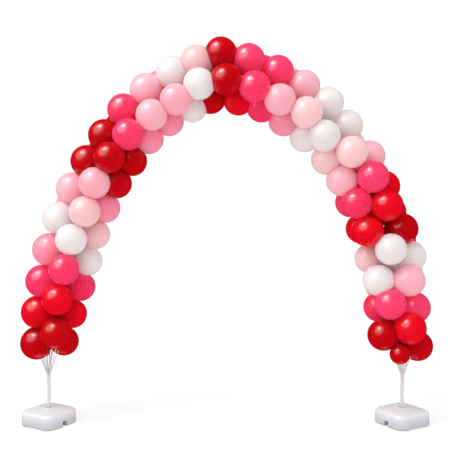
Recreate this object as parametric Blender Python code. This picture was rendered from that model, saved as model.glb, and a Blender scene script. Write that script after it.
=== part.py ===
"""Floating balloon arch: a helium garland of latex balloons, moored by white strands to two moulded weights.

Metres, +Z up. X runs along the arch, -Y is its front, and the origin is on the floor, midway between the
weights. The garland follows one line that rises from the left weight, over the crown, to the right one.
Balloons are tied in pairs, neck to neck, round that line: each pair is one solid. Balloons that press on
each other are flat where they meet, and every two solids keep GAP between them.
"""

from math import acos, cos, exp, pi, radians, sin
from typing import NamedTuple

import bmesh
import bpy
import numpy as np
from mathutils import Matrix, Vector

GAP = 0.0003

# The arch line. Each leg heads away from the crown at STEEP * (1 - e^(-distance / BEND)) below the level,
# so it bends most at the crown and runs almost straight down to its weight.
CROWN_X = 0.023
CROWN_Z = 3.177
LEFT_STEEP = radians(93)
LEFT_BEND = 1.42
RIGHT_STEEP = radians(100)
RIGHT_BEND = 1.61
LINE_STEP = 0.01
LINE_LENGTH = 4.0

# The weights, and the strands that rise from them.
FOOT_X = 1.64
BASE_TURN = radians(59.2)
BASE_SIDE = 0.41
BASE_HEIGHT = 0.135
BASE_CORNER = 0.088
BASE_CROWN = 0.012
BASE_DRAFT = 0.005
UPPER_ROUND = 0.032
UPPER_DEGREES = (0, 30, 60, 90)
LOWER_ROUND = 0.014
LOWER_DEGREES = (0, 45, 90)
CORNER_STEPS = 5
DOME_RADIUS = 0.097
DOME_RISE = 0.0084
COLLAR_RADIUS = 0.044
COLLAR_HEIGHT = 0.006
COLLAR_TAPER = 0.002
SOCKET_RADIUS = 0.033
SOCKET_DEPTH = 0.06
NOTCH_WIDTH = 0.046
NOTCH_HEIGHT = 0.046
NOTCH_DEPTH = 0.05
RELIEF_WIDTH = 0.15
RELIEF_HEIGHT = 0.009
RELIEF_DEPTH = 0.012

STRANDS = 12
BUNDLE_RADIUS = 0.016
BUNDLE_GIRTHS = (1.0, 0.9, 0.95, 0.9, 1.0)
BUNDLE_WAVE = 0.004
PINCH_HEIGHT = 0.45
STRAND_HALF = 0.004
STRAND_SHARES = (0.5, 1.0)
STRAND_CLEARANCE = 0.004
STRAND_STEP = 0.005
LONGEST_STRAND = 0.5
FAN_SPREAD = 0.36
FAN_CORE = 0.5

# The balloons. A column is the run of balloons on one side of the line.
SIDES = 8
RING_ANGLES = (38, 72, 108, 146, 175)
FACET_SCALE = 1.03
CORE_CLEARANCE = 0.03
NECK_ROOM = 0.12
KNOT_OFFSET = 0.016
KNOT_RADIUS = 0.008
FOOT_PINCH = 0.24
FOOT_PINCH_LENGTH = 0.2
FIRST_STATION = 3.18


class Column(NamedTuple):
    """Balloon radius at the left and the right foot, and how far the centres sit from the line."""

    left_radius: float
    right_radius: float
    reach: float


OUTER = Column(0.149, 0.138, 0.182)
FRONT = Column(0.136, 0.142, 0.178)
INNER = Column(0.132, 0.140, 0.178)
BACK = Column(0.136, 0.138, 0.200)

COLOURS = {
    "D": ("deep_red", (0.42, 0.004, 0.012)),
    "R": ("bright_red", (0.70, 0.006, 0.020)),
    "H": ("hot_pink", (0.82, 0.045, 0.165)),
    "P": ("rose_pink", (0.86, 0.205, 0.330)),
    "L": ("light_pink", (0.87, 0.430, 0.480)),
    "B": ("blush", (0.86, 0.560, 0.520)),
    "W": ("pearl_white", (0.84, 0.810, 0.790)),
}


class Pair(NamedTuple):
    """Two balloons tied neck to neck, or one alone where colours has one letter.

    at is the first balloon's distance along the line, negative towards the left foot, and lift is how much
    further along the second one sits. turns are degrees round the line: 0 is outward and 90 is the front.
    proud is how much further than its column a balloon sits from the line.
    """

    colours: str
    at: float
    lift: float
    turn: float
    second_turn: float
    proud: float = 0.0
    second_proud: float = 0.0


# Inner balloon, then the front one that nests above it, from the left foot to the right foot.
INNER_FRONT = (
    #    colours    at   lift  turn  second_turn  proud  second_proud
    Pair("DD", -3.16, 0.12, 236, 108),
    Pair("RR", -2.89, 0.16, 226, 97),
    Pair("HH", -2.61, 0.16, 209, 98),
    Pair("WW", -2.35, 0.18, 202, 95),
    Pair("BB", -2.08, 0.19, 199, 106),
    Pair("PL", -1.80, 0.18, 190, 98),
    Pair("DD", -1.53, 0.18, 180, 100),
    Pair("DH", -1.26, 0.18, 180, 104, 0.01),
    Pair("PL", -0.98, 0.18, 180, 112),
    Pair("PL", -0.70, 0.17, 190, 115),
    Pair("WW", -0.41, 0.14, 196, 100),
    Pair("DD", -0.19, 0.17, 210, 100, -0.01),
    Pair("RH", 0.12, 0.135, 190, 110),
    Pair("HL", 0.39, 0.135, 184, 118, 0.01),
    Pair("PB", 0.67, 0.13, 182, 106, 0.025),
    Pair("WW", 0.95, 0.12, 180, 118, 0.015),
    Pair("BB", 1.27, 0.07, 172, 83),
    Pair("LH", 1.525, 0.095, 160, 66),
    Pair("HR", 1.78, 0.12, 143, 58),
    Pair("RD", 2.07, 0.075, 140, 11, 0.0, 0.004),
    Pair("WW", 2.28, 0.12, 88, 0, 0.0, 0.02),
    Pair("WL", 2.54, 0.05, 144, 50),
    Pair("HH", 2.77, 0.08, 118, 15, 0.0, -0.02),
    Pair("DR", 3.065, -0.055, 153, 68),
)

# Outer balloon, then the back one. Their path is the longer one over the crown, so there are more of them.
OUTER_BACK = (
    #    colours    at   lift  turn  second_turn  proud  second_proud
    Pair("DD", -3.18, 0.17, 0, -76, 0.005, 0.02),
    Pair("RR", -2.90, 0.14, 0, -79, 0.002, 0.01),
    Pair("HH", -2.62, 0.15, 0, -76, 0.002, 0.01),
    Pair("PP", -2.33, 0.15, 0, -74, 0.002, 0.01),
    Pair("WL", -2.04, 0.13, 0, -52, -0.006, 0.065),
    Pair("LL", -1.76, 0.14, -16, -66, -0.003),
    Pair("DD", -1.49, 0.14, -18, -60, -0.006, 0.03),
    Pair("DD", -1.22, 0.13, -24, -58, -0.004, 0.035),
    Pair("HH", -0.95, 0.14, -16, -60, 0.0, 0.04),
    Pair("LP", -0.70, 0.12, -14, -51, 0.0, 0.07),
    Pair("WL", -0.45, 0.09, -6, -50, 0.0, 0.07),
    Pair("BP", -0.24, 0.08, 0, -45, 0.015, 0.10),
    Pair("DH", -0.05, 0.11, 0, -47, 0.055, 0.09),
    Pair("HH", 0.16, 0.13, 0, -51, 0.01, 0.07),
    Pair("HP", 0.405, 0.125, -14, -54, -0.005, 0.06),
    Pair("LL", 0.65, 0.11, -20, -60, 0.0, 0.04),
    Pair("WW", 0.89, 0.13, -12, -62, 0.0, 0.02),
    Pair("WB", 1.14, 0.15, -22, -62, 0.0, 0.04),
    Pair("LH", 1.46, 0.12, -8, -102, -0.01),
    Pair("RR", 1.75, 0.17, -8, -84, -0.01, 0.01),
    Pair("RH", 1.98, -0.21, -26, -144, -0.015, -0.01),
    Pair("RR", 2.25, -0.20, -43, -143, 0.08, -0.015),
    Pair("WB", 2.44, -0.085, -73, -140, 0.005, -0.02),
    Pair("BL", 2.56, 0.09, -42, -110, 0.07, 0.015),
    Pair("HH", 2.87, -0.03, -75, -130),
    Pair("DD", 3.215, -0.095, -14, -104, -0.003, -0.035),
)

# One small balloon fills the space at the front of the right foot.
SMALL_COLOUR = "D"
SMALL_RADIUS = 0.088
SMALL_AT = 3.24
SMALL_TURN = 104
SMALL_REACH = 0.155


class Balloon(NamedTuple):
    """One balloon: its colour letter, its column's turn round the line, centre and radius."""

    colour: str
    turn: float
    at: float
    centre: Vector
    radius: float


def leg_line(steep, bend):
    """Run, drop and heading at every LINE_STEP away from the crown."""
    along = np.arange(0, LINE_LENGTH + LINE_STEP, LINE_STEP)
    heading = steep * (1 - np.exp(-along / bend))
    middle = (heading[1:] + heading[:-1]) / 2
    run = np.concatenate([[0], np.cumsum(np.cos(middle)) * LINE_STEP])
    drop = np.concatenate([[0], np.cumsum(np.sin(middle)) * LINE_STEP])
    return along, run, drop, heading


LEFT_LEG = leg_line(LEFT_STEEP, LEFT_BEND)
RIGHT_LEG = leg_line(RIGHT_STEEP, RIGHT_BEND)


def line_at(at):
    """The arch line's point at this distance from the crown, and its outward direction."""
    side = -1 if at < 0 else 1
    along, run, drop, heading = LEFT_LEG if at < 0 else RIGHT_LEG
    x = CROWN_X + side * float(np.interp(abs(at), along, run))
    z = CROWN_Z - float(np.interp(abs(at), along, drop))
    slope = float(np.interp(abs(at), along, heading))
    return Vector((x, 0, z)), Vector((side * sin(slope), 0, cos(slope)))


def round_line(turn, out):
    """The direction this many degrees round the line from outward, towards the front."""
    return out * cos(radians(turn)) + Vector((0, -1, 0)) * sin(radians(turn))


def place(colour, at, turn, column, proud):
    """A balloon of this column. The garland is pinched in where it ends, at either foot."""
    point, out = line_at(at)
    share = (at + FIRST_STATION) / (2 * FIRST_STATION)
    radius = column.left_radius + (column.right_radius - column.left_radius) * share
    pinch = FOOT_PINCH * exp(-max(0, FIRST_STATION + at) / FOOT_PINCH_LENGTH)
    centre = point + round_line(turn, out) * (column.reach + proud) * (1 - pinch)
    return Balloon(colour, turn, at, centre, radius)


def place_pairs(rows, first, second):
    """The balloons of each row of a table, as a list of tuples of one or two."""
    pairs = []
    for row in rows:
        pair = [place(row.colours[0], row.at, row.turn, first, row.proud)]
        if len(row.colours) == 2:
            at = row.at + row.lift
            pair.append(place(row.colours[1], at, row.second_turn, second, row.second_proud))
        pairs.append(tuple(pair))
    return pairs


def place_small():
    """The small balloon at the right foot."""
    point, out = line_at(SMALL_AT)
    centre = point + round_line(SMALL_TURN, out) * SMALL_REACH
    return (Balloon(SMALL_COLOUR, SMALL_TURN, SMALL_AT, centre, SMALL_RADIUS),)


def knot_of(pair):
    """Where a pair's necks meet, just to the pair's own side of the line."""
    at = sum(balloon.at for balloon in pair) / len(pair)
    turn = sum(balloon.turn for balloon in pair) / len(pair)
    point, out = line_at(at)
    return point + round_line(turn, out) * KNOT_OFFSET


def flats_of(balloon, everyone):
    """The planes that press on a balloon or part its neck from another's, as (direction, distance)."""
    flats = []
    mine = balloon.radius * FACET_SCALE
    for other in everyone:
        apart = other.centre - balloon.centre
        theirs = other.radius * FACET_SCALE
        if other is not balloon and apart.length < mine + theirs + NECK_ROOM:
            flat = (apart.length_squared + mine**2 - theirs**2) / (2 * apart.length)
            flats.append((apart.normalized(), flat - GAP / 2))
    point, out = line_at(balloon.at)
    inward = point - balloon.centre
    flats.append((inward.normalized(), inward.length - CORE_CLEARANCE))
    return flats


def neck_stretch(polar, radius, length):
    """How much further than a ball the skin reaches here, as it draws in straight to the neck."""
    tangent = acos(min(1, radius / length))
    return 1 / cos(max(0, tangent - (pi - radians(polar))))


def skin_point(balloon, flats, direction, stretch=1.0):
    """The point where a ray from the balloon's centre meets its skin."""
    reach = balloon.radius * FACET_SCALE * stretch
    for normal, distance in flats:
        facing = normal.dot(direction)
        if facing > 1e-6:
            reach = min(reach, distance / facing)
    return balloon.centre + direction * reach


def ring_directions(polar, forward, across):
    """SIDES directions at this many degrees from straight back along forward."""
    aside = forward.cross(across)
    angle = radians(polar)
    turns = [2 * pi * i / SIDES for i in range(SIDES)]
    return [-forward * cos(angle) + (across * cos(t) + aside * sin(t)) * sin(angle) for t in turns]


def square_to(vector, axis):
    """vector with its part along axis taken away, at length 1."""
    return (vector - axis * vector.dot(axis)).normalized()


def half_rings(balloon, knot, across, everyone):
    """A balloon's far pole and its rings of skin, from the far pole to its neck."""
    forward = (knot - balloon.centre).normalized()
    across = square_to(across, forward)
    flats = flats_of(balloon, everyone)
    pole = skin_point(balloon, flats, -forward)
    rings = []
    for polar in RING_ANGLES:
        directions = ring_directions(polar, forward, across)
        stretch = neck_stretch(polar, balloon.radius * FACET_SCALE, (knot - balloon.centre).length)
        rings.append([skin_point(balloon, flats, direction, stretch) for direction in directions])
    return pole, rings


def knot_ring(knot, tangent, across):
    """The ring of skin at the knot."""
    aside = tangent.cross(across)
    turns = [2 * pi * i / SIDES for i in range(SIDES)]
    return [knot + (across * cos(t) + aside * sin(t)) * KNOT_RADIUS for t in turns]


def mesh_from_rings(name, first_pole, rings, last_pole):
    """A closed mesh through rings of equal count, with a pole or a flat cap at either end."""
    shape = bmesh.new()
    loops = [[shape.verts.new(point) for point in ring] for ring in rings]
    count = len(rings[0])
    for lower, upper in zip(loops, loops[1:]):
        for i in range(count):
            j = (i + 1) % count
            shape.faces.new((lower[i], lower[j], upper[j], upper[i]))
    for loop, pole, flip in ((loops[0], first_pole, True), (loops[-1], last_pole, False)):
        if pole is None:
            shape.faces.new(loop[::-1] if flip else loop)
            continue
        tip = shape.verts.new(pole)
        for i in range(count):
            j = (i + 1) % count
            shape.faces.new((loop[j], loop[i], tip) if flip else (loop[i], loop[j], tip))
    return finish_mesh(name, shape)


def finish_mesh(name, shape):
    """A mesh from a bmesh, in triangles, with its faces turned out."""
    bmesh.ops.triangulate(shape, faces=shape.faces[:])
    bmesh.ops.recalc_face_normals(shape, faces=shape.faces[:])
    mesh = bpy.data.meshes.new(name)
    shape.to_mesh(mesh)
    shape.free()
    return mesh


def pair_mesh(name, pair, everyone):
    """One solid: two balloons joined by their necks at the knot, or one balloon with its own neck."""
    knot = knot_of(pair)
    first = pair[0]
    forward = (knot - first.centre).normalized()
    across = square_to(Vector((0.31, 0.17, 0.93)), forward)
    pole, rings = half_rings(first, knot, across, everyone)
    if len(pair) == 1:
        rings.append(knot_ring(knot, forward, across))
        return mesh_from_rings(name, pole, rings, None)
    second = pair[1]
    onward = (second.centre - knot).normalized()
    tangent = (forward + onward).normalized()
    across = square_to(across, tangent)
    rings.append(knot_ring(knot, tangent, across))
    # The second balloon is read from its far pole too, so its rings are turned round to go on from the knot.
    far_pole, far_rings = half_rings(second, knot, across, everyone)
    mirrored = [[ring[-i % SIDES] for i in range(SIDES)] for ring in far_rings]
    rings.extend(reversed(mirrored))
    return mesh_from_rings(name, pole, rings, far_pole)


def rounded_square(side, corner, height):
    """A square outline with round corners at this height, its points in order."""
    points = []
    middle = side / 2 - corner
    for quarter in range(4):
        for step in range(CORNER_STEPS + 1):
            angle = pi / 2 * (quarter + step / CORNER_STEPS)
            centre_angle = pi / 4 + pi / 2 * quarter
            sideways = Vector((cos(centre_angle), sin(centre_angle), 0)) * middle * 2**0.5
            points.append(sideways + Vector((cos(angle) * corner, sin(angle) * corner, height)))
    return points


def circle_like(outline, radius, height):
    """A circle with a point in the direction of each point of the outline."""
    return [Vector((p.x, p.y, 0)).normalized() * radius + Vector((0, 0, height)) for p in outline]


def base_mesh(name):
    """The weight, before its notches: a crowned block with round edges and a socket in its top."""
    rings = []
    for degrees in LOWER_DEGREES:
        inset = LOWER_ROUND * (1 - sin(radians(degrees)))
        height = LOWER_ROUND * (1 - cos(radians(degrees)))
        rings.append(rounded_square(BASE_SIDE - 2 * inset, BASE_CORNER - inset, height))
    for degrees in UPPER_DEGREES:
        inset = BASE_DRAFT + UPPER_ROUND * (1 - cos(radians(degrees)))
        height = BASE_HEIGHT - UPPER_ROUND * (1 - sin(radians(degrees)))
        rings.append(rounded_square(BASE_SIDE - 2 * inset, BASE_CORNER - inset, height))
    top = BASE_HEIGHT + BASE_CROWN
    rings.append(circle_like(rings[0], DOME_RADIUS, BASE_HEIGHT + DOME_RISE))
    rings.append(circle_like(rings[0], COLLAR_RADIUS, top))
    rings.append(circle_like(rings[0], COLLAR_RADIUS - COLLAR_TAPER, top + COLLAR_HEIGHT))
    rings.append(circle_like(rings[0], SOCKET_RADIUS, top + COLLAR_HEIGHT))
    rings.append(circle_like(rings[0], SOCKET_RADIUS, top - SOCKET_DEPTH))
    return mesh_from_rings(name, None, rings, None)


def cutter_mesh(name):
    """Boxes for a notch in two opposite sides and a shallow relief under the other two."""
    shape = bmesh.new()
    sizes = ((NOTCH_WIDTH, NOTCH_HEIGHT, NOTCH_DEPTH, 0), (RELIEF_WIDTH, RELIEF_HEIGHT, RELIEF_DEPTH, 1))
    for width, height, depth, odd in sizes:
        for half_turn in (0, 1):
            box = bmesh.ops.create_cube(shape, size=1)["verts"]
            # Each box starts below the floor and outside the wall, so that it cuts cleanly through both.
            bmesh.ops.scale(shape, verts=box, vec=(width, 2 * depth, 2 * height))
            bmesh.ops.translate(shape, verts=box, vec=(0, BASE_SIDE / 2, 0))
            turn = Matrix.Rotation(pi / 2 * odd + pi * half_turn, 3, "Z")
            bmesh.ops.rotate(shape, verts=box, matrix=turn)
    return finish_mesh(name, shape)


def strand_mesh(name, foot, everyone):
    """The gathered bundle in the socket and its fan of strands, each ending just short of a balloon."""
    shape = bmesh.new()
    floor = BASE_HEIGHT + BASE_CROWN - SOCKET_DEPTH + GAP
    turns = [2 * pi * i / STRANDS for i in range(STRANDS)]
    loops = []
    for number, girth in enumerate(BUNDLE_GIRTHS):
        height = floor + (PINCH_HEIGHT - floor) * number / (len(BUNDLE_GIRTHS) - 1)
        sway = BUNDLE_WAVE * sin(pi * number / 2) * (-1 if foot.x < 0 else 1)
        centre = foot + Vector((sway, 0, height))
        radius = BUNDLE_RADIUS * girth
        loops.append([shape.verts.new(centre + Vector((cos(t), sin(t), 0)) * radius) for t in turns])
    pinch = foot + Vector((0, 0, PINCH_HEIGHT))
    core = [shape.verts.new(pinch + Vector((cos(t), sin(t), 0)) * BUNDLE_RADIUS * FAN_CORE) for t in turns]
    shape.faces.new(loops[0][::-1])
    shape.faces.new(core)
    for lower, upper in zip(loops, loops[1:]):
        for i in range(STRANDS):
            j = (i + 1) % STRANDS
            shape.faces.new((lower[i], lower[j], upper[j], upper[i]))
    for i in range(STRANDS):
        j = (i + 1) % STRANDS
        add_strand(shape, (loops[-1][i], loops[-1][j], core[j], core[i]), pinch, everyone)
    return finish_mesh(name, shape)


def add_strand(shape, root, pinch, everyone):
    """One strand, square in section, grown from a root face of four vertices."""
    start = sum((vertex.co for vertex in root), Vector()) / 4
    outward = (start - pinch).normalized()
    aside = Vector((0, 0, 1)).cross(outward)
    rise = Vector((0, 0, 1)) + outward * FAN_SPREAD
    length = strand_length(start, rise, everyone)
    lower = list(root)
    for share in STRAND_SHARES:
        centre = start + rise * length * share
        offsets = (outward - aside, outward + aside, -outward + aside, -outward - aside)
        upper = [shape.verts.new(centre + offset * STRAND_HALF) for offset in offsets]
        for i in range(4):
            j = (i + 1) % 4
            shape.faces.new((lower[i], lower[j], upper[j], upper[i]))
        lower = upper
    shape.faces.new(lower)


def strand_length(start, rise, everyone):
    """How far a strand runs before it comes within STRAND_CLEARANCE of a balloon."""
    length = 0.0
    while length < LONGEST_STRAND:
        point = start + rise * (length + STRAND_STEP)
        for balloon in everyone:
            near = balloon.radius * FACET_SCALE + STRAND_HALF * 2 + STRAND_CLEARANCE
            if (balloon.centre - point).length < near:
                return length
        length += STRAND_STEP
    return length


def material(name, colour, roughness):
    """A Principled material, made once for each name."""
    made = bpy.data.materials.get(name)
    if made is None:
        made = bpy.data.materials.new(name)
        made.use_nodes = True
        shader = made.node_tree.nodes["Principled BSDF"]
        shader.inputs["Base Color"].default_value = (*colour, 1)
        shader.inputs["Roughness"].default_value = roughness
        shader.inputs["Metallic"].default_value = 0
    return made


def add_object(name, mesh, finish):
    """An object in the scene, smooth across its shallow edges."""
    thing = bpy.data.objects.new(name, mesh)
    bpy.context.scene.collection.objects.link(thing)
    mesh.materials.append(finish)
    mesh.shade_smooth()
    mesh.set_sharp_from_angle(angle=radians(50))
    return thing


def add_balloons():
    """Every pair of balloons and the small one, and the list of all the balloons."""
    strings = {
        "inner_front_pair": place_pairs(INNER_FRONT, INNER, FRONT),
        "outer_back_pair": place_pairs(OUTER_BACK, OUTER, BACK),
        "small_balloon": [place_small()],
    }
    everyone = [balloon for pairs in strings.values() for pair in pairs for balloon in pair]
    for kind, pairs in strings.items():
        for number, pair in enumerate(pairs, 1):
            name = kind if len(pairs) == 1 else f"{kind}_{number:02d}"
            label, colour = COLOURS[pair[0].colour]
            add_object(name, pair_mesh(name, pair, everyone), material(label, colour, 0.3))
    return everyone


def add_foot(side, everyone):
    """A weight and its strands. The right foot is the left one's mirror image."""
    label = "left" if side < 0 else "right"
    plastic = material("weight_plastic", (0.74, 0.74, 0.76), 0.4)
    place_base = Matrix.Translation((side * FOOT_X, 0, 0)) @ Matrix.Rotation(-side * BASE_TURN, 4, "Z")
    base = add_object(f"{label}_base", base_mesh(f"{label}_base"), plastic)
    base.matrix_world = place_base
    cutter = add_object(f"{label}_base_cutter", cutter_mesh(f"{label}_base_cutter"), plastic)
    cutter.matrix_world = place_base
    cutter.hide_render = True
    cutter.display_type = "WIRE"
    cut = base.modifiers.new("notches", "BOOLEAN")
    cut.operation = "DIFFERENCE"
    cut.solver = "EXACT"
    cut.object = cutter
    name = f"{label}_strands"
    white = material("strand_white", (0.80, 0.78, 0.79), 0.5)
    add_object(name, strand_mesh(name, Vector((side * FOOT_X, 0, 0)), everyone), white)


def main():
    for thing in list(bpy.data.objects):
        bpy.data.objects.remove(thing)
    everyone = add_balloons()
    add_foot(-1, everyone)
    add_foot(1, everyone)


main()
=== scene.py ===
"""Floating balloon arch: latex balloons tied in pairs round one line, moored to two moulded weights.

Metres, +Z up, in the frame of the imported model. Every balloon is a round blank, pressed flat where it meets
its neighbours and drawn to a neck at its pair's knot. All balloons of one colour make one piece.
"""

from __future__ import annotations

import logging
from collections.abc import Callable
from dataclasses import dataclass
from enum import Enum
from itertools import accumulate
from math import acos, cos, exp, inf, pi, radians, sin, sqrt
from typing import NamedTuple

import bmesh
import bpy
import numpy as np
from bpy.types import Material, Mesh, Node, NodeSocket, Object
from mathutils import Matrix, Vector


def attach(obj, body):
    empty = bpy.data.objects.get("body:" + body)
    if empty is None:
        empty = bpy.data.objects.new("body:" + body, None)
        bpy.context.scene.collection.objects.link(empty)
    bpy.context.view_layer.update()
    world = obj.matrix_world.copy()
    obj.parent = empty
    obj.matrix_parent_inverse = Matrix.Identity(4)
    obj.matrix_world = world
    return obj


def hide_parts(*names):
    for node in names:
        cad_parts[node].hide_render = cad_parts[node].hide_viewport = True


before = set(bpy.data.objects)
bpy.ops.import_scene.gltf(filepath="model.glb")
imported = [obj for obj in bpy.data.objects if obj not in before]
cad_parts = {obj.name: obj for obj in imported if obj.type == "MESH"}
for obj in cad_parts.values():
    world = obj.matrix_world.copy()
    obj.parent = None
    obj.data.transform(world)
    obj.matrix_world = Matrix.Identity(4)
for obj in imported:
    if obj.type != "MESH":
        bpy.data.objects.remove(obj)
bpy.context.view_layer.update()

LOG = logging.getLogger("balloon_arch")
GAP = 0.0003  # between balloons that press on each other
SEED = 11
FOOT = 1.64  # from the middle to a weight's middle
WEIGHT_TURN = 59.2  # in degrees, mirrored on the other side

Triple = tuple[float, float, float]


# ---- mesh helpers


def configure(thing: object, **settings: object) -> None:
    """Set these properties of a thing."""
    for name, value in settings.items():
        setattr(thing, name, value)


def linked(name: str, data: bpy.types.ID) -> Object:
    """Put an object that carries this data into the scene.

    Args:
        name: the object's name.
        data: its mesh, light or camera.

    Returns:
        The object.
    """
    holder = bpy.data.objects.new(name, data)
    bpy.context.scene.collection.objects.link(holder)
    return holder


def evaluated_mesh(holder: Object) -> Mesh:
    """A plain mesh of an object with its modifiers applied."""
    evaluated = holder.evaluated_get(bpy.context.evaluated_depsgraph_get())
    return bpy.data.meshes.new_from_object(evaluated)


def mesh_of(shape: bmesh.types.BMesh) -> Mesh:
    """Turn a finished bmesh into a mesh, and free it.

    Args:
        shape: the bmesh.

    Returns:
        The mesh.
    """
    mesh = bpy.data.meshes.new("shape")
    shape.to_mesh(mesh)
    shape.free()
    return mesh


def around(angle: float, radius: float, height: float = 0.0) -> Vector:
    """The point at this angle about Z."""
    return Vector((cos(angle) * radius, sin(angle) * radius, height))


def put_attribute(mesh: Mesh, name: str, values: list) -> None:
    """Store a number or a vector on each point of a mesh.

    Args:
        mesh: the mesh.
        name: the attribute's name.
        values: the number or the vector for each point.
    """
    table = np.asarray(values, dtype=np.float32)
    kind, field = ("FLOAT", "value") if table.ndim == 1 else ("FLOAT_VECTOR", "vector")
    mesh.attributes.new(name, kind, "POINT").data.foreach_set(field, table.ravel())


def wire_mesh(paths: list[list[Vector]], **fields: list) -> Mesh:
    """Make a mesh of open lines.

    Args:
        paths: the points of each line, where a line of one point is a loose point.
        fields: for an attribute of this name, a number or a vector for each point.

    Returns:
        The mesh.
    """
    points = [tuple(point) for path in paths for point in path]
    starts = set(accumulate(len(path) for path in paths))
    edges = [(i - 1, i) for i in range(1, len(points)) if i not in starts]
    mesh = bpy.data.meshes.new("wire")
    mesh.from_pydata(points, edges, [])
    for name, values in fields.items():
        put_attribute(mesh, name, values)
    return mesh


def ringed_mesh(rings: list[list[Vector]]) -> Mesh:
    """Make a closed mesh through rings of equal count, capped at both ends.

    Args:
        rings: the points of each ring, which may all be one point.

    Returns:
        The mesh.
    """
    shape = bmesh.new()
    loops = [[shape.verts.new(p) for p in ring] for ring in rings]
    count = len(rings[0])
    for lower, upper in zip(loops, loops[1:]):
        for i in range(count):
            j = (i + 1) % count
            shape.faces.new((lower[i], lower[j], upper[j], upper[i]))
    shape.faces.new(loops[0][::-1])
    shape.faces.new(loops[-1])
    bmesh.ops.remove_doubles(shape, verts=shape.verts[:], dist=1e-6)
    bmesh.ops.recalc_face_normals(shape, faces=shape.faces[:])
    return mesh_of(shape)


def merged(meshes: list[Mesh]) -> Mesh:
    """Join meshes and keep their attributes.

    Args:
        meshes: the meshes.

    Returns:
        The new mesh.
    """
    shape = bmesh.new()
    for mesh in meshes:
        shape.from_mesh(mesh)
    return mesh_of(shape)


def add_piece(name: str, mesh: Mesh, finish: Material) -> Object:
    """Put a piece into the scene with one material, shaded smooth.

    Args:
        name: the piece's name.
        mesh: its mesh.
        finish: its material.

    Returns:
        The piece.
    """
    mesh.name = name
    mesh.materials.clear()
    mesh.materials.append(finish)
    mesh.shade_smooth()
    return linked(name, mesh)


def triangle_count(piece: Object) -> int:
    """How many triangles a piece has."""
    return sum(len(face.vertices) - 2 for face in piece.data.polygons)


# ---- node trees


def math_step(operation: str, swapped: bool = False) -> Callable[[Value, Value | float], Value]:
    """Make one operator of Value.

    Args:
        operation: the Math node's operation.
        swapped: whether the number comes second, as in 1 - mask.

    Returns:
        The method, which adds one Math node.
    """

    def step(self: Value, other: Value | float) -> Value:
        """The Math node's result."""
        left, right = (other, self) if swapped else (self, other)
        return self.math(operation, left, right)

    return step


class Value:
    """A number that flows through a shader, so that sums on it add Math nodes."""

    def __init__(self, tree: ShaderTree, socket: NodeSocket) -> None:
        """Wrap one output socket of this tree."""
        self.tree = tree
        self.socket = socket

    def math(self, operation: str, left: Value | float, right: Value | float = 0.0) -> Value:
        """Add one Math node and return its result."""
        made = self.tree.node("ShaderNodeMath", {0: left, 1: right}, {"operation": operation})
        return Value(self.tree, made.outputs[0])

    __add__ = math_step("ADD")
    __radd__ = math_step("ADD", swapped=True)
    __sub__ = math_step("SUBTRACT")
    __rsub__ = math_step("SUBTRACT", swapped=True)
    __mul__ = math_step("MULTIPLY")
    __rmul__ = math_step("MULTIPLY", swapped=True)

    def sine(self) -> Value:
        """The sine of self, in radians."""
        return self.math("SINE", self)

    def angle_over(self, other: Value) -> Value:
        """The angle whose sine and cosine are in the ratio self to other."""
        return self.math("ARCTAN2", self, other)

    def ramp(self, low: float, high: float) -> Value:
        """Smooth step from 0 to 1.

        Args:
            low: where it starts to rise.
            high: where it reaches 1.

        Returns:
            The step.
        """
        settings = {"interpolation_type": "SMOOTHSTEP"}
        inputs = {"Value": self, "From Min": low, "From Max": high}
        made = self.tree.node("ShaderNodeMapRange", inputs, settings)
        return Value(self.tree, made.outputs[0])


class NodeTree:
    """A node tree under construction, with one method that adds any node."""

    def __init__(self, tree: bpy.types.NodeTree) -> None:
        """Wrap an empty node tree."""
        self.tree = tree

    def node(self, kind: str, inputs: dict | None = None, settings: dict | None = None) -> Node:
        """Add one node.

        Args:
            kind: the node's type name.
            inputs: a value, a Value or an output socket for each input, by name or number.
            settings: its properties, set before its sockets are touched.

        Returns:
            The new node.
        """
        made = self.tree.nodes.new(kind)
        configure(made, **(settings or {}))
        for key, value in (inputs or {}).items():
            self.feed(made.inputs[key], value)
        return made

    def feed(self, socket: NodeSocket, value: object) -> None:
        """Link or set an input socket.

        Args:
            socket: the input socket.
            value: a Value or an output socket to link, or a constant.
        """
        if isinstance(value, Value):
            value = value.socket
        if isinstance(value, NodeSocket):
            self.tree.links.new(value, socket)
        elif value is not None:
            socket.default_value = value


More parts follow.
